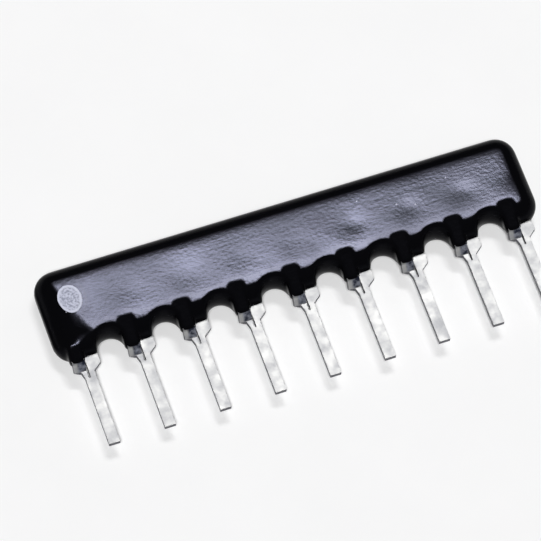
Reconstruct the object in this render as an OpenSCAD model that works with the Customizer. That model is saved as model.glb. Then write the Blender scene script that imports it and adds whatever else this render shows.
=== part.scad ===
// Single-in-line resistor network: clip leads on a ceramic plate, dipped in epoxy, lying on its back.
// Lengths are in millimetres. X runs along the row from lead 1, Y from the lead tips to the coat's top,
// and Z out of the marked face. The pieces are drawn with Y from the tips and Z from the plate's middle.

/* [Row of leads] */
// Number of leads in the row
lead_count = 9; // [4:1:14]
// Spacing of the leads
pitch = 2.54; // [1.9:0.01:5.08]
// Length of lead below the coat
lead_free = 4.2; // [2:0.05:8]
// Distance from the middle of an end lead to the end of the coat
end_overhang = 1.14; // [1.1:0.01:2]

/* [Lead strip] */
// Thickness of the strip
strip_t = 0.25; // [0.15:0.01:0.3]
// Width of a pin
pin_w = 0.5; // [0.3:0.01:0.7]
// Width of the shoulder above a pin
shoulder_w = 1.26; // [1.1:0.01:1.4]
// Width of the slit between the two fingers
slit_w = 0.08; // [0.05:0.01:0.16]
// Place of the slit, from the middle of the lead
slit_x = -0.04; // [-0.1:0.01:0.06]
// Inner radius of the strip's bends
bend_r = 0.05; // [0.03:0.01:0.12]
// Angle of the front finger's bends
front_bend_angle = 55; // [45:1:65]
// Drop from the coat's lower edge to the first bend of the front finger
front_bend_drop = 0.64; // [0.58:0.01:0.9]
// Rise of the slanted lower edge of the front finger's shoulder
front_slant_h = 0.09; // [0.05:0.01:0.2]
// Width by which the front finger's root flares out beside the pin
root_flare_w = 0.09; // [0.05:0.01:0.14]
// Height of that flare, and depth of the slit below the front finger's first bend
root_flare_h = 0.3; // [0.2:0.01:0.4]
// Angle of the back finger's bends
back_bend_angle = 45; // [40:1:60]
// Drop from the coat's lower edge to the first bend of the back finger
back_bend_drop = 0.05; // [0.02:0.01:0.2]
// Drop from the coat's lower edge to the corner of the back finger's shoulder
shoulder_drop = 0.41; // [0.3:0.01:0.7]
// Height of the slanted side of the back finger's shoulder
taper_h = 0.3; // [0.2:0.01:0.6]
// Length of finger that grips the ceramic plate
finger_grip = 1.25; // [0.8:0.01:1.4]

/* [Ceramic plate] */
// Thickness of the plate
plate_t = 0.635; // [0.5:0.005:0.8]
// Coat between the ends of the plate and the ends of the coat
plate_end_cover = 0.28; // [0.24:0.01:0.32]
// Coat between the plate and the coat's top
plate_top_cover = 0.45; // [0.3:0.01:0.6]
// Coat between the plate and the tops of the arches
plate_low_cover = 0.13; // [0.08:0.01:0.3]

/* [Printed films] */
// Thickness of the conductor film
conductor_t = 0.02; // [0.015:0.001:0.03]
// Thickness of the resistor film
resistor_t = 0.02; // [0.015:0.001:0.03]
// Thickness of the glass over the films
glaze_t = 0.04; // [0.02:0.005:0.06]
// Bare edge of the plate below the pads
pad_margin = 0.1; // [0.05:0.01:0.2]
// Pad above the solder, where the resistor begins
pad_tail = 0.2; // [0.17:0.01:0.3]
// Overlap of a resistor on the conductors at its ends
resistor_lap = 0.15; // [0.1:0.01:0.16]
// Width of a resistor
resistor_w = 0.7; // [0.5:0.01:0.8]
// Width of the laser trim cut
trim_w = 0.05; // [0.03:0.01:0.08]
// Depth of the laser trim cut
trim_depth = 0.4; // [0.2:0.01:0.45]
// Height of the common conductor's bar
bus_h = 0.35; // [0.25:0.01:0.45]
// Bare edge of the plate above the bar
bus_margin = 0.2; // [0.1:0.01:0.3]
// Width of the common conductor's leg to lead 1
bus_leg_w = 0.5; // [0.3:0.01:0.7]
// Bare edge of the plate round the glass
glaze_margin = 0.05; // [0.03:0.01:0.08]

/* [Solder] */
// Radius of the fillet beside a finger
solder_r = 0.15; // [0.1:0.01:0.18]
// Thickness of the solder at the rim of a pad
solder_base = 0.03; // [0.02:0.005:0.05]

/* [Coat] */
// Height of the coat from its lower edge to its top
coat_h = 4.3; // [4.1:0.05:6]
// Thickness of the coat over the fingers
coat_cover = 0.26; // [0.22:0.01:0.4]
// Radius of the edge's path round the upper corners
top_corner_path = 0.35; // [0.1:0.01:1]
// Radius of the edge's path round the lower corners
low_corner_path = 0.1; // [0.05:0.01:0.4]
// Height of the arches between the leads
arch_rise = 0.62; // [0.3:0.01:0.68]
// Coat left beside each finger at the narrowest place between two arches, in mm
side_skin = 0.03; // [0.02:0.01:0.06]
// Radius of an arch's bulging wall, as a share of the radius of the coat's edge
arch_wall_share = 1.2; // [1.1:0.05:3]
// Radius of the rounded ridge over a finger
ridge_r = 0.38; // [0.34:0.01:0.44]
// Length of the front ridge between its round ends
front_ridge_l = 0.8; // [0.6:0.01:0.84]
// Length of the back ridge between its round ends
back_ridge_l = 0.5; // [0.3:0.01:1]
// Height of the front ridge above the sloping floor of the notch over a front finger
ridge_proud = 0.03; // [0.02:0.01:0.05]
// Height of the notch's upper end above the coat's lower edge
notch_up = 1.11; // [1:0.01:1.3]
// Width of the notch
notch_w = 0.68; // [0.6:0.01:0.76]
// Slope of the notch's floor towards the lead
notch_angle = 10; // [6:1:12]
// Depth of the back ridge below the back face
back_ridge_sink = 0.02; // [0.01:0.01:0.05]
// Reach of the front ridge below the coat's lower edge
front_toe_drop = 0.38; // [0.3:0.01:0.45]
// Reach of the back ridge below the coat's lower edge
back_toe_drop = 0.3; // [0.05:0.01:0.35]

/* [Lead 1 mark] */
// Width of the printed dot
dot_w = 1.05; // [0.6:0.01:1.2]
// Height of the printed dot
dot_h = 1.33; // [1.25:0.01:1.6]
// Place of the dot along the row, from lead 1
dot_x = 0.2; // [0.1:0.01:0.8]
// Height of the dot's middle above the coat's lower edge
dot_up = 2.53; // [2.2:0.01:2.7]
// Thickness of the ink
ink_t = 0.02; // [0.015:0.001:0.04]

/* [Hidden] */
$fn = 64;
resistor_count = lead_count - 1;
// How far a cutting shape runs past the surface that it cuts
past = 0.2;

// Levels from the plate's middle to the front face
plate_face_z = plate_t / 2;
pad_face_z = plate_face_z + conductor_t;
film_top_z = pad_face_z + resistor_t;
glaze_top_z = film_top_z + glaze_t;
coat_face_z = pad_face_z + strip_t + coat_cover;
coat_t = 2 * coat_face_z;

// Outline of the coat: its edge is a full round that follows a path inside the outline
edge_r = coat_t / 2;
coat_l = (lead_count - 1) * pitch + 2 * end_overhang;
coat_low_y = lead_free;
coat_top_y = coat_low_y + coat_h;
path_x = coat_l / 2 - edge_r;
path_low_y = coat_low_y + edge_r;
path_top_y = coat_top_y - edge_r;
arch_half_w = (pitch - shoulder_w) / 2 - side_skin;
arch_r = (arch_half_w * arch_half_w + arch_rise * arch_rise) / (2 * arch_rise);
arch_y = coat_low_y + arch_rise - arch_r;
arch_wall_r = edge_r * arch_wall_share;
notch_y = coat_low_y + notch_up;
ridge_y = coat_low_y - front_toe_drop + ridge_r;
ridge_z = coat_face_z - (notch_y - ridge_y) * tan(notch_angle) + ridge_proud - ridge_r;

// Ceramic plate
plate_l = coat_l - 2 * plate_end_cover;
plate_low_y = coat_low_y + arch_rise + plate_low_cover;
plate_top_y = coat_top_y - plate_top_cover;

// Fingers, from the middle of a lead
shoulder_x = shoulder_w / 2;
slit_left_x = slit_x - slit_w / 2;
slit_right_x = slit_x + slit_w / 2;
front_finger_w = shoulder_x + slit_left_x;
front_finger_x = (slit_left_x - shoulder_x) / 2;
back_finger_x = (shoulder_x + slit_right_x) / 2;
finger_top_y = plate_low_y + finger_grip;
front_bend_y = coat_low_y - front_bend_drop;
back_bend_y = coat_low_y - back_bend_drop;
shoulder_y = coat_low_y - shoulder_drop;
taper_low_y = shoulder_y - taper_h;
slit_root_y = front_bend_y - root_flare_h;
front_root_y = slit_root_y - pin_w / 2;
// Sideways shift of each finger from the plane of the pins
front_shift = pad_face_z + strip_t / 2;
back_shift = plate_face_z + strip_t / 2;
// Radius of the bends at the strip's middle, and the number of flats along a bend
bend_mid_r = bend_r + strip_t / 2;
bend_steps = 8;

// Printed films, from the middle of a lead
pad_w = front_finger_w + 2 * solder_r;
pad_low_y = plate_low_y + pad_margin;
solder_top_y = finger_top_y + solder_r;
pad_top_y = solder_top_y + pad_tail;
bus_top_y = plate_top_y - bus_margin;
bus_low_y = bus_top_y - bus_h;
resistor_low_y = pad_top_y - resistor_lap;
resistor_h = bus_low_y + resistor_lap - resistor_low_y;

function lead_x(i) = (i - (lead_count + 1) / 2) * pitch;
function film_x(i) = lead_x(i) + front_finger_x;

// Puts a piece drawn from the tips and the plate's middle into the part's frame
module in_frame() {
    translate([0, -coat_top_y / 2, coat_face_z]) children();
}

// Leads: formed strip

// Points along one side of a strip that runs up from from_y, steps sideways by two bends and runs on to the
// top of the fingers; side is 1 on the outer face and -1 on the inner face
function strip_side(side, angle, shift, from_y, bend_y) =
    let (
        off = side * strip_t / 2,
        slope_l = (shift - 2 * bend_mid_r * (1 - cos(angle))) / sin(angle),
        end_y = bend_y + 2 * bend_mid_r * sin(angle) + slope_l * cos(angle),
        turns = [for (step = [0 : bend_steps]) angle * step / bend_steps],
        back_turns = [for (step = [0 : bend_steps]) angle - turns[step]]
    )
    concat(
        [[from_y, off]],
        [for (a = turns) [bend_y + (bend_mid_r - off) * sin(a), bend_mid_r - (bend_mid_r - off) * cos(a)]],
        [for (a = back_turns)
            [end_y - (bend_mid_r + off) * sin(a), shift - bend_mid_r + (bend_mid_r + off) * cos(a)]],
        [[finger_top_y, shift + off]]
    );

function reversed(points) = [for (k = [len(points) - 1 : -1 : 0]) points[k]];

// The bent strip, wider than a shoulder, stepping towards +Z
module bent_strip(angle, shift, from_y, bend_y) {
    rotate([90, 0, 90])
        linear_extrude(shoulder_w + 2 * past, center = true)
            polygon(concat(
                strip_side(1, angle, shift, from_y, bend_y),
                reversed(strip_side(-1, angle, shift, from_y, bend_y))
            ));
}

// An outline seen from the front, drawn through the whole depth of a bent strip
module through() {
    linear_extrude(2 * (front_shift + strip_t), center = true) children();
}

// Outline of the front finger: it leaves the pin's left half, flares out and widens to the shoulder
module front_outline() {
    polygon([
        [-pin_w / 2, front_root_y],
        [slit_left_x, front_root_y],
        [slit_left_x, finger_top_y],
        [-shoulder_x, finger_top_y],
        [-shoulder_x, front_bend_y + front_slant_h],
        [-pin_w / 2 - root_flare_w, front_bend_y],
        [-pin_w / 2, front_bend_y - root_flare_h]
    ]);
}

// Outline of the pin and the back finger, with the round root of the slit
module back_outline() {
    difference() {
        polygon([
            [-pin_w / 2, 0],
            [pin_w / 2, 0],
            [pin_w / 2, taper_low_y],
            [shoulder_x, shoulder_y],
            [shoulder_x, finger_top_y],
            [slit_right_x, finger_top_y],
            [slit_right_x, slit_root_y],
            [-pin_w / 2, slit_root_y]
        ]);
        translate([slit_x, slit_root_y]) circle(d = slit_w);
    }
}

module lead_form() {
    intersection() {
        through() front_outline();
        bent_strip(front_bend_angle, front_shift, front_root_y, front_bend_y);
    }
    intersection() {
        through() back_outline();
        mirror([0, 0, 1]) bent_strip(back_bend_angle, back_shift, 0, back_bend_y);
    }
}

// Where the back finger lies on the plate, from the finger's middle to the plate's middle
module back_grip() {
    translate([slit_right_x, plate_low_y, -back_shift])
        cube([shoulder_x - slit_right_x, finger_grip, back_shift]);
}

module lead(i) {
    color("silver") in_frame() translate([lead_x(i), 0, 0]) lead_form();
}

// Ceramic plate and the films printed on it

module plate_form() {
    translate([-plate_l / 2, plate_low_y, -plate_t / 2])
        cube([plate_l, plate_top_y - plate_low_y, plate_t]);
}

module ceramic_substrate() {
    color("white") in_frame() plate_form();
}

// The films start at the plate's face, or deeper where they are cut out of the coat together with the plate

module pad_form(i, from_z = plate_face_z) {
    translate([film_x(i) - pad_w / 2, pad_low_y, from_z])
        cube([pad_w, pad_top_y - pad_low_y, pad_face_z - from_z]);
}

module bus_form(from_z = plate_face_z) {
    bus_left = film_x(1) - bus_leg_w / 2;
    bus_right = film_x(lead_count) + pad_w / 2;
    pad_form(1, from_z);
    translate([bus_left, pad_top_y - resistor_lap, from_z])
        cube([bus_leg_w, bus_top_y - pad_top_y + resistor_lap, pad_face_z - from_z]);
    translate([bus_left, bus_low_y, from_z])
        cube([bus_right - bus_left, bus_h, pad_face_z - from_z]);
}

module common_conductor() {
    color("lightgray") in_frame() bus_form();
}

module pad(i) {
    color("lightgray") in_frame() pad_form(i);
}

// Resistor i lies between the pad of lead i + 1 and the bar, lapping onto both
module resistor_form(i) {
    right_x = film_x(i + 1) + resistor_w / 2;
    difference() {
        translate([right_x - resistor_w, resistor_low_y, plate_face_z])
            cube([resistor_w, resistor_h, film_top_z - plate_face_z]);
        translate([right_x - trim_depth, (pad_top_y + bus_low_y - trim_w) / 2, plate_face_z - past])
            cube([trim_depth + past, trim_w, film_top_z - plate_face_z + 2 * past]);
        pad_form(i + 1);
        bus_form();
    }
}

module resistor(i) {
    color("darkslategray") in_frame() resistor_form(i);
}

module glaze_form(from_z = plate_face_z) {
    translate([-plate_l / 2 + glaze_margin, solder_top_y, from_z])
        cube([
            plate_l - 2 * glaze_margin,
            plate_top_y - glaze_margin - solder_top_y,
            glaze_top_z - from_z
        ]);
}

module overglaze() {
    color("seagreen") in_frame() difference() {
        glaze_form();
        bus_form();
        for (i = [2 : lead_count]) pad_form(i);
        for (i = [1 : resistor_count]) resistor_form(i);
    }
}

// Solder: hollow fillets beside and above a front finger, on its pad

// Cross-section from one rim of the solder, with a hollow fillet at that rim
module fillet_side(width, height) {
    difference() {
        square([width, height]);
        translate([0, height]) circle(solder_r);
    }
}

module solder_form(i) {
    height = conductor_t + solder_base + solder_r;
    length = solder_top_y - pad_low_y;
    translate([film_x(i), pad_low_y, plate_face_z])
        intersection() {
            translate([0, length, 0])
                rotate([90, 0, 0])
                    linear_extrude(length) {
                        translate([-pad_w / 2, 0]) fillet_side(pad_w / 2, height);
                        mirror([1, 0]) translate([-pad_w / 2, 0]) fillet_side(pad_w / 2, height);
                    }
            translate([pad_w / 2, length, 0])
                rotate([90, 0, -90])
                    linear_extrude(pad_w)
                        fillet_side(length, height);
        }
}

module solder(i) {
    color("gainsboro") in_frame() difference() {
        solder_form(i);
        pad_form(i);
        translate([lead_x(i), 0, 0]) lead_form();
    }
}

// Coat: a full round edge carried round the outline, arches between leads, notches and ridges over fingers

// Section of the coat from one round edge to the other
module round_ended(reach) {
    square([reach - coat_t, coat_t], center = true);
    for (side = [-1, 1]) translate([side * (reach - coat_t) / 2, 0]) circle(d = coat_t);
}

// What a round corner leaves outside it: a square corner less the edge's section turned round the centre
module corner_waste(path_r) {
    side = path_r + edge_r + past;
    difference() {
        translate([0, 0, -edge_r - past]) cube([side, side, coat_t + 2 * past]);
        rotate_extrude() {
            translate([0, -edge_r]) square([path_r, coat_t]);
            translate([path_r, 0]) intersection() {
                circle(edge_r);
                translate([0, -edge_r]) square([edge_r, coat_t]);
            }
        }
    }
}

module coat_slab() {
    difference() {
        translate([0, (coat_low_y + coat_top_y) / 2, 0]) intersection() {
            rotate([90, 0, 90]) linear_extrude(coat_l + past, center = true) round_ended(coat_h);
            rotate([90, 0, 0]) linear_extrude(coat_h + past, center = true) round_ended(coat_l);
        }
        for (end = [0, 1]) mirror([end, 0, 0]) {
            translate([path_x - top_corner_path, path_top_y - top_corner_path, 0])
                corner_waste(top_corner_path);
            translate([path_x - low_corner_path, path_low_y + low_corner_path, 0])
                mirror([0, 1, 0]) corner_waste(low_corner_path);
        }
    }
}

// The space of an arch between two leads: a waisted spool, so that the arch's wall bulges
module arch_space() {
    reach = edge_r + past;
    rotate_extrude()
        difference() {
            translate([0, -reach]) square([arch_r + arch_wall_r, 2 * reach]);
            translate([arch_r + arch_wall_r, 0]) circle(arch_wall_r);
        }
}

// A rod with round ends, along +Z from the centre of its lower end
module round_rod(length) {
    rotate_extrude() {
        square([ridge_r, length]);
        intersection() {
            circle(ridge_r);
            translate([0, -ridge_r]) square(ridge_r);
        }
        translate([0, length]) intersection() {
            circle(ridge_r);
            square(ridge_r);
        }
    }
}

// The notch over a front finger, where the dip drew back and its face slopes down to the lead
module finger_notch() {
    translate([front_finger_x - notch_w / 2, notch_y, coat_face_z])
        rotate([notch_angle, 0, 0])
            translate([0, -2 * notch_up, 0]) cube([notch_w, 2 * notch_up, coat_face_z]);
}

// Ridges where the dip runs over the fingers of one lead and hangs below the coat's lower edge
module finger_ridges() {
    translate([front_finger_x, ridge_y, ridge_z])
        rotate([-90 + notch_angle, 0, 0]) round_rod(front_ridge_l);
    translate([
        back_finger_x,
        coat_low_y - back_toe_drop + ridge_r,
        -coat_face_z + back_ridge_sink + ridge_r
    ])
        rotate([-90, 0, 0]) round_rod(back_ridge_l);
}

module epoxy_coat() {
    color("#17171c") in_frame() difference() {
        union() {
            difference() {
                coat_slab();
                for (i = [1 : lead_count - 1]) translate([lead_x(i) + pitch / 2, arch_y, 0]) arch_space();
                for (i = [1 : lead_count]) translate([lead_x(i), 0, 0]) finger_notch();
            }
            for (i = [1 : lead_count]) translate([lead_x(i), 0, 0]) finger_ridges();
        }
        plate_form();
        glaze_form(0);
        bus_form(0);
        for (i = [1 : lead_count]) {
            pad_form(i, 0);
            solder_form(i);
            translate([lead_x(i), 0, 0]) {
                lead_form();
                back_grip();
            }
        }
    }
}

// Printed dot beside lead 1
module pin_1_dot() {
    round_y = (dot_h - dot_w) / 2;
    color("whitesmoke")
        in_frame()
            translate([lead_x(1) + dot_x, coat_low_y + dot_up, coat_face_z])
                linear_extrude(ink_t) {
                    square([dot_w, 2 * round_y], center = true);
                    for (up = [-1, 1]) translate([0, up * round_y]) circle(d = dot_w);
                }
}

epoxy_coat();
ceramic_substrate();
common_conductor();
overglaze();
pin_1_dot();
for (i = [2 : lead_count]) pad(i);
for (i = [1 : resistor_count]) resistor(i);
for (i = [1 : lead_count]) lead(i);
for (i = [1 : lead_count]) solder(i);
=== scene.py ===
"""Dresses the nine-lead resistor network: dipped coat, tin-plated leads, printed dot and studio."""

import logging
import math
from dataclasses import dataclass
from enum import Enum

import bmesh
import bpy
from mathutils import Matrix, Quaternion, Vector, noise


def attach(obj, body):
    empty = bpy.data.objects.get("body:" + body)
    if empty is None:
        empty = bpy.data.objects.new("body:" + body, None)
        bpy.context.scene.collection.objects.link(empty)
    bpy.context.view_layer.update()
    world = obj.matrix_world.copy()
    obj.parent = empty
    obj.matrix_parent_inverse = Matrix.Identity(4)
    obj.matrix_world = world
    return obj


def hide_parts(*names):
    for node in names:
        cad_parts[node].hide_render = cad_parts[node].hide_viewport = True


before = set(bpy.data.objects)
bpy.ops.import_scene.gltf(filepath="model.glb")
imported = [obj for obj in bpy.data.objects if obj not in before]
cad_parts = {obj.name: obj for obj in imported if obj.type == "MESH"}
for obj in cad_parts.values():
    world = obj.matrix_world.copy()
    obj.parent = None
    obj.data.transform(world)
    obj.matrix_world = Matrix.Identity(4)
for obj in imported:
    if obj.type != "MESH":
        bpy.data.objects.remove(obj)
log = logging.getLogger("resistor_network")

MM = 0.001
MICRON = 1e-6
LEADS = 9
PITCH = 2.54  # millimetres, as are all plain lengths below
NEAR = 1e-5  # places closer than this count as one
CUT_NEAR = 1e-6  # the same for a cutting plane
MIX_A, MIX_B, MIX_OUT = 6, 7, 2  # the colour sockets of a Mix node

Pair = tuple[float, float]
Triple = tuple[float, float, float]


class Slot(Enum):
    """The record's material slots of the pieces that are made here."""

    BLACK_EPOXY = "black_epoxy"
    TIN_PLATE = "tin_plate"
    WHITE_INK = "white_ink"


class Face(Enum):
    """The two broad faces of the part, by the sign of the height that they look towards."""

    FRONT = 1
    BACK = -1


class Node(Enum):
    """The shader nodes that the finishes are made of, by Blender's own names."""

    COORDINATES = "ShaderNodeTexCoord"
    MAPPING = "ShaderNodeMapping"
    NOISE = "ShaderNodeTexNoise"
    CELLS = "ShaderNodeTexVoronoi"
    RAMP = "ShaderNodeValToRGB"
    RANGE = "ShaderNodeMapRange"
    MATH = "ShaderNodeMath"
    VECTOR_MATH = "ShaderNodeVectorMath"
    MIX = "ShaderNodeMix"
    SPLIT = "ShaderNodeSeparateXYZ"
    SPLIT_COLOUR = "ShaderNodeSeparateColor"
    BUMP = "ShaderNodeBump"


def linear(code: str) -> tuple[float, float, float, float]:
    """Turns an sRGB hex colour to linear.

    Args:
        code: Six hex digits after a hash sign.

    Returns:
        Linear red, green, blue and an alpha of 1.
    """
    parts = [int(code[i:i + 2], 16) / 255 for i in (1, 3, 5)]
    line = [p / 12.92 if p <= 0.04045 else ((p + 0.055) / 1.055) ** 2.4 for p in parts]
    return line[0], line[1], line[2], 1.0


def per_mm(size: float) -> float:
    """Gives a texture scale, per metre, whose cells are about size millimetres wide."""
    return 1.0 / (size * MM)


def lead_x(number: int) -> float:
    """Gives the middle of a lead along the row, in millimetres."""
    return (number - (LEADS + 1) / 2) * PITCH


def smooth_step(low: float, high: float, value: float) -> float:
    """Rises smoothly from 0 at low to 1 at high."""
    t = min(max((value - low) / (high - low), 0.0), 1.0)
    return t * t * (3 - 2 * t)


def plug(tree: bpy.types.NodeTree, node: bpy.types.Node, values: dict | None = None,
         links: dict | None = None) -> None:
    """Sets some of a node's input sockets and links others to what feeds them.

    Args:
        tree: The node tree that holds the node.
        node: The node.
        values: Input sockets, by name or number, and what is set on them.
        links: Input sockets, by name or number, and the output sockets that feed them.
    """
    for key, value in (values or {}).items():
        node.inputs[key].default_value = value
    for key, source in (links or {}).items():
        tree.links.new(source, node.inputs[key])


def add_node(tree: bpy.types.NodeTree, kind: Node, settings: dict | None = None,
             values: dict | None = None, links: dict | None = None,
             stops: tuple[tuple[float, str], ...] = ()) -> bpy.types.Node:
    """Adds one shader node with its settings, socket values, incoming links and colour stops.

    Args:
        tree: The node tree that takes the node.
        kind: The node's type.
        settings: Properties of the node itself.
        values: Input sockets, by name or number, and what is set on them.
        links: Input sockets, by name or number, and the output sockets that feed them.
        stops: Places and hex colours for a node that has a colour ramp.

    Returns:
        The new node.
    """
    node = tree.nodes.new(kind.value)
    for name, value in (settings or {}).items():
        setattr(node, name, value)
    plug(tree, node, values, links)
    for number, (place, code) in enumerate(stops):
        stop = node.color_ramp.elements[number]
        stop.position, stop.color = place, linear(code)
    return node


def new_material(name: str) -> tuple[bpy.types.Material, bpy.types.NodeTree, bpy.types.Node,
                                     bpy.types.NodeSocket]:
    """Starts a node material.

    Args:
        name: The material's name.

    Returns:
        The material, its tree, its Principled node and the object coordinates.
    """
    made = bpy.data.materials.new(name)
    made.use_nodes = True
    tree = made.node_tree
    shader = tree.nodes["Principled BSDF"]
    place = add_node(tree, Node.COORDINATES).outputs["Object"]
    return made, tree, shader, place


def levelness(tree: bpy.types.NodeTree) -> bpy.types.NodeSocket:
    """Adds what tells level skin from upright sides.

    Args:
        tree: The node tree that takes the nodes.

    Returns:
        A socket that is 1 where the surface lies level and 0 where it stands upright.
    """
    facing = add_node(tree, Node.COORDINATES)
    axes = add_node(tree, Node.SPLIT, links={"Vector": facing.outputs["Normal"]})
    level = add_node(tree, Node.MATH, {"operation": "ABSOLUTE"}, links={0: axes.outputs["Z"]})
    return level.outputs[0]


@dataclass(frozen=True)
class DippedEpoxy:
    """Black epoxy, dipped and cured: a smooth skin that mirrors softly, with peel and some dust."""

    name: str = "dipped_black_epoxy"
    pigment: str = "#070709"
    dust: str = "#8f8f99"
    dust_mm: float = 0.60
    dust_reach: float = 0.055  # a grain's radius, as a share of its cell
    clean_share: float = 0.55  # of the cells, which have no grain
    roughness: Pair = (0.19, 0.26)
    blotch_mm: float = 2.2
    blotch_range: Pair = (0.3, 0.7)
    gloss: Pair = (0.025, 0.5)
    gloss_level: Pair = (0.986, 0.998)  # of the normal's height, from tilted to level skin
    ior: float = 1.60
    sheen_tint: str = "#dcdffc"
    peel_mm: float = 0.15
    peel_um: float = 5.0
    streak_mm: Pair = (2.4, 0.11)
    streak_um: float = 2.0

    def colour(self, tree: bpy.types.NodeTree, place: bpy.types.NodeSocket) -> bpy.types.NodeSocket:
        """Adds the black with dust nibs: a pale grain in some cells of a pattern.

        Args:
            tree: The material's tree.
            place: The object coordinates.

        Returns:
            The colour.
        """
        cells = add_node(tree, Node.CELLS, values={"Scale": per_mm(self.dust_mm)},
                         links={"Vector": place})
        grain = add_node(tree, Node.MATH, {"operation": "LESS_THAN"}, {1: self.dust_reach},
                         {0: cells.outputs["Distance"]})
        few = add_node(tree, Node.SPLIT_COLOUR, links={"Color": cells.outputs["Color"]})
        chosen = add_node(tree, Node.MATH, {"operation": "GREATER_THAN"}, {1: self.clean_share},
                          {0: few.outputs["Red"]})
        speck = add_node(tree, Node.MATH, {"operation": "MULTIPLY"},
                         links={0: grain.outputs[0], 1: chosen.outputs[0]})
        mixed = add_node(tree, Node.MIX, {"data_type": "RGBA"},
                         {MIX_A: linear(self.pigment), MIX_B: linear(self.dust)},
                         {0: speck.outputs[0]})
        return mixed.outputs[MIX_OUT]

    def relief(self, tree: bpy.types.NodeTree, place: bpy.types.NodeSocket) -> bpy.types.NodeSocket:
        """Adds orange peel and the fine drag lines along the row, as heights.

        Args:
            tree: The material's tree.
            place: The object coordinates.

        Returns:
            The bumped normal.
        """
        along, across = (per_mm(size) for size in self.streak_mm)
        peel = add_node(tree, Node.NOISE, values={"Scale": per_mm(self.peel_mm), "Detail": 2.0},
                        links={"Vector": place})
        stretch = add_node(tree, Node.MAPPING, values={"Scale": (along, across, along)},
                           links={"Vector": place})
        streak = add_node(tree, Node.NOISE, values={"Scale": 1.0, "Detail": 2.0},
                          links={"Vector": stretch.outputs[0]})
        bump = add_node(tree, Node.BUMP,
                        values={"Strength": 1.0, "Distance": self.peel_um * MICRON},
                        links={"Height": peel.outputs["Fac"]})
        lines = add_node(tree, Node.BUMP,
                         values={"Strength": 1.0, "Distance": self.streak_um * MICRON},
                         links={"Height": streak.outputs["Fac"], "Normal": bump.outputs[0]})
        return lines.outputs[0]

    def make(self) -> bpy.types.Material:
        """Makes the material.

        Returns:
            The finished material.
        """
        made, tree, shader, place = new_material(self.name)
        # blotches of slightly duller skin, as the dip drained
        blotch = add_node(tree, Node.NOISE, values={"Scale": per_mm(self.blotch_mm), "Detail": 3.0},
                          links={"Vector": place})
        dull = add_node(tree, Node.RANGE,
                        values={"From Min": self.blotch_range[0], "From Max": self.blotch_range[1],
                                "To Min": self.roughness[0], "To Max": self.roughness[1]},
                        links={"Value": blotch.outputs["Fac"]})
        # the skin thins round the edges, the arches and the runs, and is dull there
        gloss = add_node(tree, Node.RANGE, {"interpolation_type": "SMOOTHSTEP"},
                         {"From Min": self.gloss_level[0], "From Max": self.gloss_level[1],
                          "To Min": self.gloss[0], "To Max": self.gloss[1]},
                         {"Value": levelness(tree)})
        plug(tree, shader, {"IOR": self.ior, "Specular Tint": linear(self.sheen_tint)},
             {"Base Color": self.colour(tree, place), "Roughness": dull.outputs[0],
              "Specular IOR Level": gloss.outputs[0], "Normal": self.relief(tree, place)})
        return made


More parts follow.
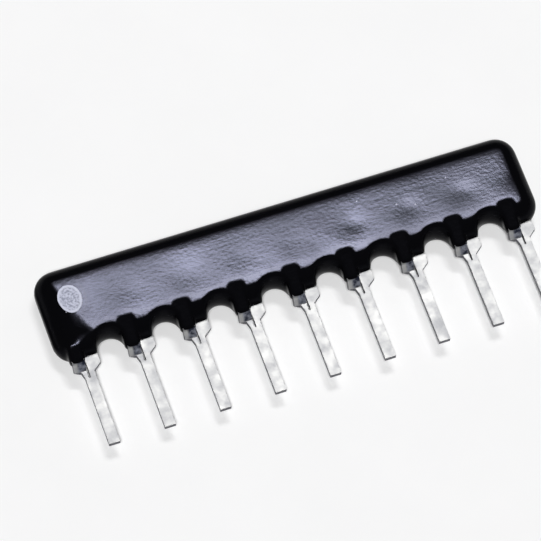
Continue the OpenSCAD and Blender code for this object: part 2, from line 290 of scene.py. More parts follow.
@dataclass(frozen=True)
class TinPlate:
    """Tin-plated strip: pale, softly mirroring, with dull patches and a fine rolled grain."""

    name: str = "tin_plated_strip"
    bright: str = "#f1f1f0"
    dull: str = "#dddee1"
    patch_mm: float = 0.55
    patch_tones: Pair = (0.30, 0.60)
    patch_range: Pair = (0.3, 0.7)
    roughness: Pair = (0.49, 0.58)
    # bare core of the punched sides, darkened further as painted shade for the shadowed floor that
    # the sides mirror
    cut: str = "#626268"
    cut_level: float = 0.3
    # painted reflection: dark to pale blue-greys for the dark surroundings mirrored in the front
    # fingers' slopes
    bend_reflection: tuple[str, str] = ("#474c5e", "#c6cad8")
    bend_reflection_mm: float = 0.24
    bend_reflection_tones: Pair = (0.38, 0.62)
    slope_z: Pair = (0.99, 1.40)  # heights between which the front finger slopes
    slope_x: Pair = (-0.50, -0.36)  # from the lead's middle, where the painted dark reflection fades in
    grain_mm: Pair = (0.05, 0.6)  # coarser than the real rolled grain, so that it shows
    grain_um: float = 0.9

    def front_bend(self, tree: bpy.types.NodeTree, place: bpy.types.NodeSocket,
                   plain: bpy.types.NodeSocket) -> bpy.types.NodeSocket:
        """Adds a painted reflection: a dark, bluish patch on each front finger's slope, for the
        dark surroundings that the slope mirrors.

        Args:
            tree: The material's tree.
            place: The object coordinates.
            plain: The colour of the rest of the strip.

        Returns:
            The colour with the patches.
        """
        axes = add_node(tree, Node.SPLIT, links={"Vector": place})
        low, high = (height * MM for height in self.slope_z)
        above = add_node(tree, Node.MATH, {"operation": "GREATER_THAN"}, {1: low},
                         {0: axes.outputs["Z"]})
        below = add_node(tree, Node.MATH, {"operation": "LESS_THAN"}, {1: high},
                         {0: axes.outputs["Z"]})
        slope = add_node(tree, Node.MATH, {"operation": "MULTIPLY"},
                         links={0: above.outputs[0], 1: below.outputs[0]})
        # the row repeats every pitch, so one rule finds the inner part of every finger
        across = add_node(tree, Node.MATH, {"operation": "WRAP"},
                          {1: PITCH * MM / 2, 2: -PITCH * MM / 2}, {0: axes.outputs["X"]})
        inner = add_node(tree, Node.RANGE, {"interpolation_type": "SMOOTHSTEP"},
                         {"From Min": self.slope_x[0] * MM, "From Max": self.slope_x[1] * MM},
                         {"Value": across.outputs[0]})
        reflection_mask = add_node(tree, Node.MATH, {"operation": "MULTIPLY"},
                           links={0: slope.outputs[0], 1: inner.outputs[0]})
        # painted reflection: a blotchy dark blue-grey on each slope, in place of the surroundings
        # that it mirrors
        reflection_noise = add_node(tree, Node.NOISE,
                          values={"Scale": per_mm(self.bend_reflection_mm), "Detail": 2.0},
                          links={"Vector": place})
        reflected = add_node(tree, Node.RAMP, links={"Fac": reflection_noise.outputs["Fac"]},
                        stops=tuple(zip(self.bend_reflection_tones, self.bend_reflection)))
        bent = add_node(tree, Node.MIX, {"data_type": "RGBA"},
                        links={0: reflection_mask.outputs[0], MIX_A: plain, MIX_B: reflected.outputs[0]})
        return bent.outputs[MIX_OUT]

    def make(self) -> bpy.types.Material:
        """Makes the material.

        Returns:
            The finished material.
        """
        made, tree, shader, place = new_material(self.name)
        patch = add_node(tree, Node.NOISE, values={"Scale": per_mm(self.patch_mm), "Detail": 4.0,
                                                   "Roughness": 0.6}, links={"Vector": place})
        plain = add_node(tree, Node.RAMP, links={"Fac": patch.outputs["Fac"]},
                         stops=tuple(zip(self.patch_tones, (self.dull, self.bright))))
        rough = add_node(tree, Node.RANGE,
                         values={"From Min": self.patch_range[0], "From Max": self.patch_range[1],
                                 "To Min": self.roughness[1], "To Max": self.roughness[0]},
                         links={"Value": patch.outputs["Fac"]})
        fine, long = (per_mm(size) for size in self.grain_mm)
        stretch = add_node(tree, Node.MAPPING, values={"Scale": (fine, long, fine)},
                           links={"Vector": place})
        grain = add_node(tree, Node.NOISE, values={"Scale": 1.0, "Detail": 2.0},
                         links={"Vector": stretch.outputs[0]})
        bump = add_node(tree, Node.BUMP,
                        values={"Strength": 1.0, "Distance": self.grain_um * MICRON},
                        links={"Height": grain.outputs["Fac"]})
        # the punched sides of the strip show its bare, dull core, and their grey is made darker
        # still as painted shade, for the shadowed floor that these sides mirror
        side = add_node(tree, Node.MATH, {"operation": "LESS_THAN"}, {1: self.cut_level},
                        {0: levelness(tree)})
        punched_and_shaded = add_node(tree, Node.MIX, {"data_type": "RGBA"}, {MIX_B: linear(self.cut)},
                           {0: side.outputs[0],
                            MIX_A: self.front_bend(tree, place, plain.outputs[0])})
        plug(tree, shader, {"Metallic": 1.0},
             {"Base Color": punched_and_shaded.outputs[MIX_OUT], "Roughness": rough.outputs[0],
              "Normal": bump.outputs[0]})
        return made


@dataclass(frozen=True)
class PrintedInk:
    """Stamped epoxy ink: greyish white, a fuller rim, and black showing through in speckles."""

    name: str = "printed_white_ink"
    full: str = "#c9ccdc"
    thin: str = "#c0c3d4"
    bare: str = "#8e91a2"
    speckle_mm: float = 0.10
    speckle_tones: Pair = (0.38, 0.60)
    rim: Pair = (0.78, 0.90)
    roughness: float = 0.62

    def make(self, centre: Pair, half: Pair) -> bpy.types.Material:
        """Makes the material.

        Args:
            centre: The dot's middle, in millimetres.
            half: Half its width and half its height.

        Returns:
            The finished material.
        """
        made, tree, shader, place = new_material(self.name)
        speckle = add_node(tree, Node.NOISE,
                           values={"Scale": per_mm(self.speckle_mm), "Detail": 2.0},
                           links={"Vector": place})
        inner = add_node(tree, Node.RAMP, links={"Fac": speckle.outputs["Fac"]},
                         stops=tuple(zip(self.speckle_tones, (self.bare, self.thin))))
        # the stamp squeezes ink to the rim: the distance from the middle picks it out
        middle = add_node(tree, Node.VECTOR_MATH, {"operation": "SUBTRACT"},
                          {1: (centre[0] * MM, centre[1] * MM, 0.0)}, {0: place})
        share = add_node(tree, Node.VECTOR_MATH, {"operation": "MULTIPLY"},
                         {1: (per_mm(half[0]), per_mm(half[1]), 0.0)}, {0: middle.outputs[0]})
        out = add_node(tree, Node.VECTOR_MATH, {"operation": "LENGTH"}, links={0: share.outputs[0]})
        rim = add_node(tree, Node.RANGE,
                       values={"From Min": self.rim[0], "From Max": self.rim[1]},
                       links={"Value": out.outputs["Value"]})
        colour = add_node(tree, Node.MIX, {"data_type": "RGBA"}, {MIX_B: linear(self.full)},
                          {0: rim.outputs[0], MIX_A: inner.outputs[0]})
        plug(tree, shader, {"Roughness": self.roughness}, {"Base Color": colour.outputs[MIX_OUT]})
        return made


@dataclass(frozen=True)
class GrainedFinish:
    """A plain surface with a fine mottle of two tones: printed, fired or soldered layers."""

    name: str
    light: str
    dark: str
    mottle_mm: float
    roughness: float
    metallic: float = 0.0
    height_um: float = 1.0
    tones: Pair = (0.35, 0.65)

    def make(self) -> bpy.types.Material:
        """Makes the material.

        Returns:
            The finished material.
        """
        made, tree, shader, place = new_material(self.name)
        mottle = add_node(tree, Node.NOISE, values={"Scale": per_mm(self.mottle_mm), "Detail": 4.0,
                                                    "Roughness": 0.65}, links={"Vector": place})
        colour = add_node(tree, Node.RAMP, links={"Fac": mottle.outputs["Fac"]},
                          stops=tuple(zip(self.tones, (self.dark, self.light))))
        bump = add_node(tree, Node.BUMP,
                        values={"Strength": 1.0, "Distance": self.height_um * MICRON},
                        links={"Height": mottle.outputs["Fac"]})
        plug(tree, shader, {"Metallic": self.metallic, "Roughness": self.roughness},
             {"Base Color": colour.outputs[0], "Normal": bump.outputs[0]})
        return made


# fired 96% alumina: warm white, matt, faintly grainy
FIRED_ALUMINA = GrainedFinish("fired_alumina", "#ece8df", "#dfd9cc", 0.12, 0.68, 0.0, 1.5)
# fired palladium-silver conductor: dull grey metal with the screen's grain
FIRED_SILVER = GrainedFinish("fired_palladium_silver", "#c4c1ba", "#a19d95", 0.08, 0.48, 0.85, 1.2)
# fired ruthenium-oxide resistor film: black-brown and satin
FIRED_RESISTOR = GrainedFinish("fired_ruthenium_film", "#262325", "#141214", 0.10, 0.42, 0.0, 1.0)
# fired overglaze: dark green glass, glossy
FIRED_GLAZE = GrainedFinish("fired_overglaze", "#3d6b52", "#2b523d", 0.40, 0.16, 0.0, 0.5)
# reflowed solder: bright grey metal with a faint frost
REFLOWED_SOLDER = GrainedFinish("reflowed_solder", "#c9cacc", "#a3a5a9", 0.15, 0.30, 1.0, 0.8)
# pale paper sweep under and behind the part
PAPER_SWEEP = GrainedFinish("pale_paper_sweep", "#f6f6f6", "#f4f4f4", 9.0, 0.9, 0.0, 0.0)


def to_object(bm: bmesh.types.BMesh, name: str, material: bpy.types.Material | None = None,
              scale: float = MM, smooth: bool = True) -> bpy.types.Object:
    """Turns a bmesh in millimetres into an object at the origin, in metres.

    Args:
        bm: The finished bmesh, which is freed.
        name: The object's name.
        material: Its material, if it needs one.
        scale: What the coordinates are multiplied by.
        smooth: Whether its faces are shaded smooth.

    Returns:
        The new object, linked to the scene.
    """
    bmesh.ops.scale(bm, vec=(scale,) * 3, verts=bm.verts)
    for face in bm.faces:
        face.smooth = smooth
    mesh = bpy.data.meshes.new(name)
    bm.to_mesh(mesh)
    bm.free()
    if material:
        mesh.materials.append(material)
    made = bpy.data.objects.new(name, mesh)
    bpy.context.scene.collection.objects.link(made)
    return made


def discard(spare: bpy.types.Object) -> None:
    """Removes a helper object together with its mesh.

    Args:
        spare: The object that is no longer needed.
    """
    mesh = spare.data
    bpy.data.objects.remove(spare)
    bpy.data.meshes.remove(mesh)


def with_modifier(bm: bmesh.types.BMesh, kind: str, settings: dict) -> bmesh.types.BMesh:
    """Runs one modifier on a bmesh and gives back the result.

    Args:
        bm: The bmesh, which is freed.
        kind: The modifier's type.
        settings: Its properties.

    Returns:
        A new bmesh with the modifier applied.
    """
    blank = to_object(bm, "blank", scale=1.0)
    step = blank.modifiers.new("step", kind)
    for name, value in settings.items():
        setattr(step, name, value)
    made = bmesh.new()
    made.from_object(blank, bpy.context.evaluated_depsgraph_get())
    discard(blank)
    return made


def is_level(edge: bmesh.types.BMEdge) -> bool:
    """Tells whether both ends of an edge lie at one height."""
    return abs(edge.verts[0].co.z - edge.verts[1].co.z) < NEAR


def only(kind: type, geom: list) -> list:
    """Picks the elements of one kind, such as vertices, out of an operator's result."""
    return [element for element in geom if isinstance(element, kind)]


@dataclass(frozen=True)
class Run:
    """A run of coat down one finger: its start, beside the lead's middle, and its length."""

    x: float
    y: float
    z: float
    length: float


@dataclass
class EpoxyCoat:
    """The dipped coat: a round-edged slab, an arch between leads and a run down every finger.

    The forms are merged by a voxel remesh and smoothed. Then lift() shapes the front skin: low
    humps over the fingers, dips beside them, a notch over each front finger and a slanted fall at
    one end.
    """

    half_w: float = 11.3
    low_y: float = -0.05
    top_y: float = 4.25
    thick: float = 1.695
    top_corner: float = 0.96
    low_corner: float = 0.9475
    corner_steps: int = 12
    rim_steps: int = 10
    rim_flat: float = 0.006  # keeps the two round edges from meeting
    arch_r: float = 0.61
    arch_y: float = -0.040
    arch_wall_r: Pair = (1.6, 1.017)  # front half, back half
    arch_over: float = 0.1
    arch_steps: int = 8
    arch_turns: int = 48
    front_run: Run = Run(-0.355, -0.45, 1.465, 1.32)
    front_tilt_deg: float = 10.0
    bar_size: Pair = (0.74, 0.62)
    bar_taper: float = 0.80
    bar_round: float = 0.17
    bar_steps: int = 4
    back_run: Run = Run(0.315, 0.03, 0.40, 0.50)
    rod_r: float = 0.38
    rod_steps: tuple[int, int] = (24, 16)
    notch_half_w: float = 0.34
    notch_blend: Pair = (0.05, 0.07)
    notch_top: float = 1.06
    notch_slope: float = 0.18
    hump: float = 0.010
    hump_half_w: float = 0.5
    hump_rise: Pair = (0.7, 1.2)
    hump_set: Pair = (1.3, 2.3)
    dip: Pair = (0.006, 0.016)
    dip_deeper_from: int = 6  # leads from this one on have the second, deeper dip
    dip_place: Pair = (0.60, 1.97)
    dip_half: Pair = (0.50, 0.42)
    wave: float = 0.010
    wave_mm: Pair = (2.6, 1.7)
    wave_row: float = 0.4
    crown: float = 0.006
    low_crown: float = 0.008
    crown_reach: float = 0.45
    end_slant: float = 0.40
    end_fall: float = 0.17
    end_reach: float = 1.15
    end_soft: float = 0.25
    end_fade: Pair = (0.25, 0.85)
    voxel: float = 0.07
    front_share: Pair = (0.62, 0.8)  # of the thickness, between which lift() sets in
    merge_ease: tuple[int, float] = (8, 0.5)  # rounds and factor of smoothing
    skin_ease: tuple[int, float] = (2, 0.4)
    finish: DippedEpoxy = DippedEpoxy()

    def slab(self) -> bmesh.types.BMesh:
        """Makes the plain slab with rounded corners and fully round edges.

        Returns:
            The slab, in millimetres.
        """
        bm = bmesh.new()
        bmesh.ops.create_cube(bm, size=1.0)
        mid_y = (self.top_y + self.low_y) / 2
        bmesh.ops.scale(bm, vec=(2 * self.half_w, self.top_y - self.low_y, self.thick),
                        verts=bm.verts)
        bmesh.ops.translate(bm, vec=(0, mid_y, self.thick / 2), verts=bm.verts)
        for corner, above in ((self.top_corner, True), (self.low_corner, False)):
            upright = [e for e in bm.edges if not is_level(e)
                       and abs(abs(e.verts[0].co.x) - self.half_w) < NEAR
                       and (e.verts[0].co.y > mid_y) == above]
            bmesh.ops.bevel(bm, geom=upright, offset=corner, affect="EDGES",
                            segments=self.corner_steps, profile=0.5, material=-1)
        rims = [e for e in bm.edges if is_level(e)]
        bmesh.ops.bevel(bm, geom=rims, offset=self.thick / 2 - self.rim_flat, affect="EDGES",
                        segments=self.rim_steps, profile=0.5, material=-1)
        return bm

    def arch_cutters(self) -> bmesh.types.BMesh:
        """Makes the waisted cutters that leave an arch between neighbouring leads.

        Returns:
            All eight cutters, in millimetres.
        """
        bm = bmesh.new()
        mid = self.thick / 2
        reach = mid + self.arch_over
        heights = [mid + reach * (i / self.arch_steps - 1) for i in range(2 * self.arch_steps + 1)]
        walls = [self.arch_wall_r[0 if h > mid else 1] for h in heights]
        wide = [self.arch_r + w - math.sqrt(w ** 2 - (h - mid) ** 2)
                for w, h in zip(walls, heights)]
        path = [(0.0, heights[0]), *zip(wide, heights), (0.0, heights[-1])]
        for number in range(1, LEADS):
            x = lead_x(number) + PITCH / 2
            rail = [bm.verts.new((x + r, self.arch_y, h)) for r, h in path]
            edges = [bm.edges.new(pair) for pair in zip(rail, rail[1:])]
            bmesh.ops.spin(bm, geom=rail + edges, cent=(x, self.arch_y, 0), axis=(0, 0, 1),
                           angle=2 * math.pi, steps=self.arch_turns, use_merge=True)
        bmesh.ops.remove_doubles(bm, verts=bm.verts, dist=NEAR)
        bmesh.ops.recalc_face_normals(bm, faces=bm.faces)
        return bm

    def front_bar(self, bm: bmesh.types.BMesh) -> list[bmesh.types.BMVert]:
        """Adds the squarish, tilted bar of coat over a front finger.

        Args:
            bm: The slab that takes the bar.

        Returns:
            The bar's vertices, with its start at the origin.
        """
        wide, deep = self.bar_size
        length = self.front_run.length
        made = bmesh.ops.create_cube(bm, size=1.0)["verts"]
        bmesh.ops.scale(bm, vec=(wide, length, deep), verts=made)
        edges = list({e for v in made for e in v.link_edges})
        made = bmesh.ops.bevel(bm, geom=edges, offset=self.bar_round, affect="EDGES",
                               segments=self.bar_steps, profile=0.5, material=-1)["verts"]
        bmesh.ops.scale(bm, vec=(self.bar_taper, 1, 1), verts=[v for v in made if v.co.y > 0])
        bmesh.ops.translate(bm, vec=(0, length / 2, -deep / 2), verts=made)
        bmesh.ops.rotate(bm, cent=(0, 0, 0), verts=made,
                         matrix=Matrix.Rotation(math.radians(self.front_tilt_deg), 3, "X"))
        return made

    def back_rod(self, bm: bmesh.types.BMesh) -> list[bmesh.types.BMVert]:
        """Adds the round-ended rod of coat over a back finger.

        Args:
            bm: The slab that takes the rod.

        Returns:
            The rod's vertices, with its start at the origin.
        """
        around, along = self.rod_steps
        made = bmesh.ops.create_uvsphere(bm, u_segments=around, v_segments=along,
                                         radius=self.rod_r)["verts"]
        bmesh.ops.rotate(bm, cent=(0, 0, 0), matrix=Matrix.Rotation(math.pi / 2, 3, "X"),
                         verts=made)
        bmesh.ops.translate(bm, vec=(0, self.back_run.length, 0),
                            verts=[v for v in made if v.co.y > NEAR])
        return made

    def add_run(self, bm: bmesh.types.BMesh, number: int, face: Face) -> None:
        """Adds the run of coat down one finger of a lead.

        Args:
            bm: The slab that takes the run.
            number: The lead, from 1.
            face: Which of the two faces the finger lies on.
        """
        if face is Face.FRONT:
            run, made = self.front_run, self.front_bar(bm)
        else:
            run, made = self.back_run, self.back_rod(bm)
        bmesh.ops.translate(bm, vec=(lead_x(number) + run.x, run.y, run.z), verts=made)

    def humps(self, x: float, y: float, number: int) -> float:
        """Gives the low humps over the front fingers and the shallow dips beside them.

        Args:
            x: Along the row, in millimetres.
            y: Across the row.
            number: The nearest lead.

        Returns:
            The change in height, in millimetres.
        """
        near = 0.0
        rise = smooth_step(*self.hump_rise, y) * (1 - smooth_step(*self.hump_set, y))
        for lead in range(max(number - 1, 1), number + 1):
            off = x - lead_x(lead)
            over = off - self.front_run.x
            near += self.hump * math.exp(-(over / self.hump_half_w) ** 2) * rise
            deep = self.dip[0 if lead < self.dip_deeper_from else 1]
            near -= deep * math.exp(-((off - self.dip_place[0]) / self.dip_half[0]) ** 2
                                    - ((y - self.dip_place[1]) / self.dip_half[1]) ** 2)
        return near

    def notch(self, x: float, y: float, skin: float, number: int) -> float:
        """Gives how deep the notch over a front finger cuts into the skin.

        Args:
            x: Along the row, in millimetres.
            y: Across the row.
            skin: The skin's height there.
            number: The nearest lead.

        Returns:
            The depth, in millimetres.
        """
        if y >= self.notch_top:
            return 0.0
        over = x - lead_x(number) - self.front_run.x
        inside = 1 - smooth_step(self.notch_half_w - self.notch_blend[0],
                                 self.notch_half_w + self.notch_blend[1], abs(over))
        roof = self.thick + self.hump - self.notch_slope * (self.notch_top - y)
        return inside * max(0.0, skin - roof)

    def end(self, x: float, y: float) -> float:
        """Gives how far the skin falls past the slanted line near lead 1's end.

        Args:
            x: Along the row, in millimetres.
            y: Across the row.

        Returns:
            The fall, in millimetres.
        """
        rim = self.thick / 2
        bevel_x = (self.top_y - rim - y) * self.end_slant + rim - self.half_w
        past = min(max(bevel_x - x, 0.0), self.end_reach)
        return self.end_fall * past ** 2 / (past + self.end_soft) * smooth_step(*self.end_fade, y)

    def near_edge(self, inward: float) -> float:
        """Rises from 0 well inside the flat face to 1 where its rounded edge begins."""
        return min(max(1 - inward / self.crown_reach, 0.0), 1.0) ** 2

    def lift(self, x: float, y: float, z: float) -> float:
        """Gives how far the front skin stands from the plain slab at one place.

        Args:
            x: Along the row, in millimetres.
            y: Across the row.
            z: The skin's height there.

        Returns:
            The change in height, in millimetres.
        """
        number = min(max(round(x / PITCH + (LEADS + 1) / 2), 1), LEADS)
        near = self.humps(x, y, number)
        cut = max(self.notch(x, y, z + near, number), self.end(x, y))
        swell = self.wave * noise.noise(
            Vector((x / self.wave_mm[0], y / self.wave_mm[1], self.wave_row)))
        rim = self.thick / 2
        fall = self.crown * self.near_edge(min(self.half_w - rim - abs(x), self.top_y - rim - y))
        fall += self.low_crown * self.near_edge(y - self.low_y - rim)
        return near - cut + swell - fall

    def ease(self, bm: bmesh.types.BMesh, rounds: int, factor: float) -> None:
        """Smooths every vertex towards its neighbours.

        Args:
            bm: The coat.
            rounds: How many times.
            factor: How far each time.
        """
        for _ in range(rounds):
            bmesh.ops.smooth_vert(bm, verts=bm.verts, factor=factor, use_axis_x=True,
                                  use_axis_y=True, use_axis_z=True)

    def build(self) -> bpy.types.Object:
        """Builds and dresses the coat.

        Returns:
            The coat's object, which stands for the CAD coat.
        """
        cutters = to_object(self.arch_cutters(), "arch_cutters", scale=1.0)
        bm = with_modifier(self.slab(), "BOOLEAN",
                           {"operation": "DIFFERENCE", "object": cutters, "solver": "EXACT"})
        discard(cutters)
        for number in range(1, LEADS + 1):
            for face in Face:
                self.add_run(bm, number, face)
        bm = with_modifier(bm, "REMESH",
                           {"mode": "VOXEL", "voxel_size": self.voxel, "adaptivity": 0.0})
        self.ease(bm, *self.merge_ease)
        low, high = (self.thick * share for share in self.front_share)
        for vert in bm.verts:
            front = smooth_step(low, high, vert.co.z)
            if front > 0:
                vert.co.z += front * self.lift(*vert.co)
        self.ease(bm, *self.skin_ease)
        made = to_object(bm, "dipped_coat", self.finish.make())
        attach(made, "root")
        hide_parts("epoxy_coat")
        return made


@dataclass(frozen=True)
class Bend:
    """A finger's double bend on the flat blank: out of the pin's plane and straight again."""

    start_y: float
    degrees: float
    shift: float
    radius: float = 0.175

    @property
    def angle(self) -> float:
        """Gives the angle in radians."""
        return math.radians(self.degrees)

    @property
    def arc(self) -> float:
        """Gives the length of each of the two arcs."""
        return self.angle * self.radius

    @property
    def slope(self) -> float:
        """Gives the straight length between the arcs."""
        return (self.shift - 2 * self.radius * (1 - math.cos(self.angle))) / math.sin(self.angle)

    @property
    def lost(self) -> float:
        """Gives how much shorter the finger stands once it is bent."""
        bent = 2 * self.radius * math.sin(self.angle) + self.slope * math.cos(self.angle)
        return 2 * self.arc + self.slope - bent


@dataclass
class ClipLead:
    """One stamped and bent lead: pin, shoulder, and two fingers that grip the ceramic plate."""

    number: int
    thick: float = 0.25
    mid_z: float = 0.8475
    tip_y: float = -4.25
    half_pin: float = 0.25
    half_shoulder: float = 0.63
    slit: Pair = (-0.08, 0.0)
    slit_root: float = -0.99
    root_steps: int = 6
    front_slant: float = 0.09
    flare: Pair = (0.09, 0.30)
    shoulder_y: float = -0.46
    taper_y: float = -0.76
    front_bend: Bend = Bend(-0.69, 55.0, 0.4625)
    back_bend: Bend = Bend(-0.10, 45.0, 0.4425)
    bend_steps: int = 5
    grip_y: float = 1.95
    edge: float = 0.010
    edge_steps: int = 2

    def stamp(self) -> bmesh.types.BMesh:
        """Makes the flat blank with its slit and eased edges.

        Returns:
            The blank, in millimetres, with the lead's middle at x 0.
        """
        left, right = self.slit
        mid, half = (left + right) / 2, (right - left) / 2
        turns = [-math.pi * i / self.root_steps for i in range(self.root_steps + 1)]
        root = [(mid + half * math.cos(a), self.slit_root + half * math.sin(a)) for a in turns]
        # each finger is as much longer on the blank as its bends take up
        front_top = self.grip_y + self.front_bend.lost
        back_top = self.grip_y + self.back_bend.lost
        bend_y = self.front_bend.start_y
        wide, high = self.flare
        outline = [(self.half_pin, self.tip_y), (self.half_pin, self.taper_y),
                   (self.half_shoulder, self.shoulder_y), (self.half_shoulder, back_top),
                   (right, back_top), *root, (left, front_top), (-self.half_shoulder, front_top),
                   (-self.half_shoulder, bend_y + self.front_slant),
                   (-self.half_pin - wide, bend_y), (-self.half_pin, bend_y - high),
                   (-self.half_pin, self.tip_y)]
        bm = bmesh.new()
        low_z = self.mid_z - self.thick / 2
        face = bm.faces.new([bm.verts.new((x, y, low_z)) for x, y in outline])
        lifted = bmesh.ops.extrude_face_region(bm, geom=[face])["geom"]
        bmesh.ops.translate(bm, vec=(0, 0, self.thick), verts=only(bmesh.types.BMVert, lifted))
        bmesh.ops.recalc_face_normals(bm, faces=bm.faces)
        rims = [e for e in bm.edges if is_level(e)]
        bmesh.ops.bevel(bm, geom=rims, offset=self.edge, affect="EDGES",
                        segments=self.edge_steps, profile=0.5, material=-1)
        # the bevel links neighbours in an order that varies; a copy links them the same each run
        blank = bm.copy()
        bm.free()
        return blank

    def fold(self, bm: bmesh.types.BMesh, face: Face) -> None:
        """Bends one finger away from the pin's plane and then straight again, step by step.

        Args:
            bm: The blank.
            face: The finger's side, and the way that it steps.
        """
        in_front = face is Face.FRONT
        bend = self.front_bend if in_front else self.back_bend
        step = face.value * bend.angle / self.bend_steps
        lines: list[Pair] = []
        for first, way in ((bend.start_y, 1), (bend.start_y + bend.arc + bend.slope, -1)):
            lines += [(first + bend.arc * (i + 0.5) / self.bend_steps, way * step)
                      for i in range(self.bend_steps)]
        middle = sum(self.slit) / 2
        for y, _ in lines:
            side = [f for f in bm.faces if max(v.co.y for v in f.verts) > y
                    and (f.calc_center_median().x < middle) == in_front]
            geom = list({v for f in side for v in f.verts} | {e for f in side for e in f.edges}
                        | set(side))
            bmesh.ops.bisect_plane(bm, geom=geom, dist=CUT_NEAR, plane_co=(0, y, 0),
                                   plane_no=(0, 1, 0))
        finger = {v: v.co.y for v in bm.verts if (v.co.x < middle) == in_front}
        pivots = [Vector((0, y, self.mid_z)) for y, _ in lines]
        for i, (y, turn_by) in enumerate(lines):
            turn = Matrix.Rotation(turn_by, 3, "X")
            bmesh.ops.rotate(bm, cent=pivots[i], matrix=turn,
                             verts=[v for v, flat in finger.items() if flat > y + NEAR])
            pivots[i + 1:] = [turn @ (p - pivots[i]) + pivots[i] for p in pivots[i + 1:]]

    def build(self, material: bpy.types.Material) -> bpy.types.Object:
        """Builds and dresses the lead.

        Args:
            material: The tin plate.

        Returns:
            The lead's object, which stands for its CAD node.
        """
        bm = self.stamp()
        for face in Face:
            self.fold(bm, face)
        bmesh.ops.translate(bm, vec=(lead_x(self.number), 0, 0), verts=bm.verts)
        node = f"lead_{self.number}"
        made = to_object(bm, f"clip_{node}", material, smooth=False)
        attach(made, "root")
        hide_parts(node)
        return made


@dataclass
class LeadOneDot:
    """The printed dot beside lead 1: a slightly egg-shaped, slightly ragged patch of ink."""

    centre: Pair = (-9.96, 2.48)
    half_w: float = 0.525
    half_h: float = 0.665
    low_z: float = 1.672
    top_z: float = 1.712
    egg: float = 0.06
    ragged: float = 0.022
    ragged_turns: float = 4
    ragged_row: float = 2.0
    edge: float = 0.012
    edge_steps: int = 2
    steps: int = 96
    finish: PrintedInk = PrintedInk()

    def build(self) -> bpy.types.Object:
        """Builds and dresses the dot.

        Returns:
            The dot's object, which stands for the CAD dot.
        """
        bm = bmesh.new()
        bmesh.ops.create_circle(bm, cap_ends=True, radius=1.0, segments=self.steps)
        for vert in bm.verts:
            x, y, _ = vert.co
            wide = self.half_w * (1 + self.egg * y)
            ragged = 1 + self.ragged * noise.noise(
                Vector((x * self.ragged_turns, y * self.ragged_turns, self.ragged_row)))
            vert.co = Vector((self.centre[0] + x * wide * ragged,
                              self.centre[1] + y * self.half_h * ragged, self.low_z))
        lifted = bmesh.ops.extrude_face_region(bm, geom=list(bm.faces))["geom"]
        bmesh.ops.translate(bm, vec=(0, 0, self.top_z - self.low_z),
                            verts=only(bmesh.types.BMVert, lifted))
        bmesh.ops.recalc_face_normals(bm, faces=bm.faces)
        top = [e for e in bm.edges if min(v.co.z for v in e.verts) > self.top_z - NEAR]
        bmesh.ops.bevel(bm, geom=top, offset=self.edge, affect="EDGES", segments=self.edge_steps,
                        profile=0.5, material=-1)
        ink = self.finish.make(self.centre, (self.half_w, self.half_h))
        made = to_object(bm, "lead_one_dot", ink, smooth=False)
        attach(made, "root")
        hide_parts("pin_1_dot")
        return made


@dataclass
class PrintedPlate:
    """The hidden ceramic plate with its printed layers and solder joints, kept as the CAD nodes."""

    ceramic: GrainedFinish = FIRED_ALUMINA
    glass: GrainedFinish = FIRED_GLAZE
    conductor: GrainedFinish = FIRED_SILVER
    film: GrainedFinish = FIRED_RESISTOR
    joint: GrainedFinish = REFLOWED_SOLDER

    def dress(self) -> list[str]:
        """Gives every inner node its material.

        Returns:
            The names of the nodes that were dressed.
        """
        finishes = {"ceramic_substrate": self.ceramic.make(), "overglaze": self.glass.make(),
                    "common_conductor": self.conductor.make()}
        film, solder = self.film.make(), self.joint.make()
        finishes |= {f"pad_{i}": finishes["common_conductor"] for i in range(2, LEADS + 1)}
        finishes |= {f"resistor_{i}": film for i in range(1, LEADS)}
        finishes |= {f"solder_{i}": solder for i in range(1, LEADS + 1)}
        for name, material in finishes.items():
            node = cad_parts[name]
            if not node.material_slots:
                node.data.materials.append(material)
            for place in node.material_slots:
                place.material = material
        return sorted(finishes)


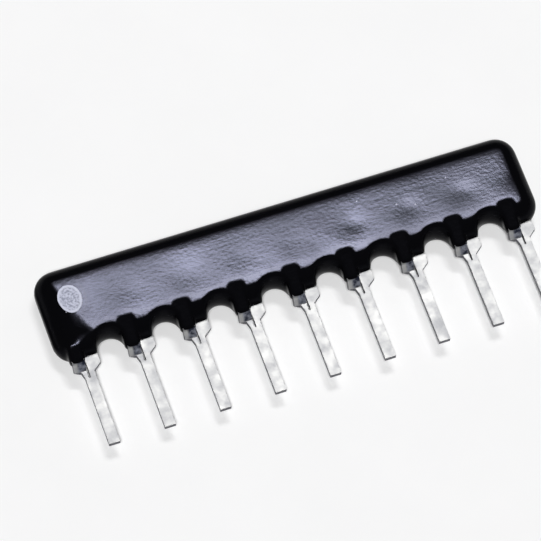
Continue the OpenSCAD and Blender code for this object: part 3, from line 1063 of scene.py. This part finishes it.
@dataclass
class Studio:
    """A pale paper sweep, a narrow soft window light, a fill that doesn't mirror and a dim room."""

    sweep_r: float = 800.0
    sweep_rise: float = 80.0
    sweep_flat: float = 0.7
    sweep_steps: int = 8
    sweep_turns: int = 96
    window_way: Triple = (0.19, 0.30, 0.935)
    window_far: float = 1.0
    window_size: Pair = (0.36, 0.14)
    window_level: float = 16.8
    fill_way: Triple = (-0.183, -0.374, 0.909)
    fill_far: float = 1.0
    fill_level: float = 2.50
    fill_deg: float = 10.0
    room: str = "#474749"

    def sweep(self) -> bpy.types.Object:
        """Builds the floor, which curves up far behind the part.

        Returns:
            The floor's object.
        """
        bm = bmesh.new()
        bmesh.ops.create_circle(bm, cap_ends=True, radius=self.sweep_r * self.sweep_flat,
                                segments=self.sweep_turns)
        rim = list(bm.edges)
        turns = [i / self.sweep_steps * math.pi / 2 for i in range(self.sweep_steps + 1)]
        wide = [self.sweep_flat + (1 - self.sweep_flat) * math.sin(t) for t in turns]
        high = [self.sweep_rise * (1 - math.cos(t)) for t in turns]
        for i in range(1, len(turns)):
            made = bmesh.ops.extrude_edge_only(bm, edges=rim)["geom"]
            verts, rim = only(bmesh.types.BMVert, made), only(bmesh.types.BMEdge, made)
            grow = wide[i] / wide[i - 1]
            bmesh.ops.scale(bm, vec=(grow, grow, 1), verts=verts)
            bmesh.ops.translate(bm, vec=(0, 0, high[i] - high[i - 1]), verts=verts)
        bmesh.ops.recalc_face_normals(bm, faces=bm.faces)
        if max(bm.faces, key=lambda f: f.calc_area()).normal.z < 0:
            bmesh.ops.reverse_faces(bm, faces=bm.faces)
        made = to_object(bm, "paper_sweep", PAPER_SWEEP.make())
        return made

    def lamp(self, name: str, kind: str, way: Triple, far: float,
             settings: dict) -> bpy.types.Object:
        """Hangs one lamp that points at the part.

        Args:
            name: The lamp's name.
            kind: Its type.
            way: The direction from the part to the lamp.
            far: How far away it hangs, in metres.
            settings: Its properties.

        Returns:
            The lamp's object.
        """
        data = bpy.data.lights.new(name, kind)
        for key, value in settings.items():
            setattr(data, key, value)
        made = bpy.data.objects.new(name, data)
        made.location = Vector(way).normalized() * far
        made.rotation_euler = Vector(way).to_track_quat("Z", "Y").to_euler()
        bpy.context.scene.collection.objects.link(made)
        return made

    def build(self) -> None:
        """Builds the sweep, the lamps and the world."""
        self.sweep()
        wide, high = self.window_size
        self.lamp("window_light", "AREA", self.window_way, self.window_far,
                  {"shape": "RECTANGLE", "size": wide, "size_y": high,
                   "energy": self.window_level * math.pi * wide * high})
        fill = self.lamp("fill_light", "SUN", self.fill_way, self.fill_far,
                         {"energy": self.fill_level, "angle": math.radians(self.fill_deg)})
        fill.visible_glossy = False
        world = bpy.data.worlds.new("dim_room")
        world.use_nodes = True
        world.node_tree.nodes["Background"].inputs["Color"].default_value = linear(self.room)
        bpy.context.scene.world = world


@dataclass
class PhotoCamera:
    """The camera at the photograph's angle, fitted to the row of leads."""

    place: Triple = (-33.73, -65.68, 163.61)
    target: Triple = (-1.03, 1.36, 0.85)
    roll_deg: float = 7.0
    focal_px: float = 4068.0
    image_px: float = 541.0
    sensor: float = 36.0
    clip_m: Pair = (0.005, 10.0)

    def build(self) -> bpy.types.Object:
        """Builds the camera and makes it the scene's own.

        Returns:
            The camera's object.
        """
        data = bpy.data.cameras.new("photo_camera")
        data.sensor_width = self.sensor
        data.lens = self.sensor * self.focal_px / self.image_px
        data.clip_start, data.clip_end = self.clip_m
        made = bpy.data.objects.new("photo_camera", data)
        way = Vector(self.target) - Vector(self.place)
        turn = way.to_track_quat("-Z", "Y") @ Quaternion((0, 0, 1), math.radians(self.roll_deg))
        made.location = Vector(self.place) * MM
        made.rotation_mode = "QUATERNION"
        made.rotation_quaternion = turn
        bpy.context.scene.collection.objects.link(made)
        bpy.context.scene.camera = made
        return made


def main() -> None:
    """Builds every piece in order."""
    logging.basicConfig(level=logging.INFO, format="%(name)s: %(message)s")
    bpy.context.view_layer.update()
    bpy.context.scene.view_settings.view_transform = "Standard"
    PhotoCamera().build()
    Studio().build()
    coat = EpoxyCoat().build()
    log.info("%s: %d faces", coat.name, len(coat.data.polygons))
    tin = TinPlate().make()
    for number in range(1, LEADS + 1):
        lead = ClipLead(number).build(tin)
        log.info("%s: %d faces", lead.name, len(lead.data.polygons))
    log.info("%s", LeadOneDot().build().name)
    log.info("dressed %d inner nodes", len(PrintedPlate().dress()))


if __name__ == "__main__":
    main()
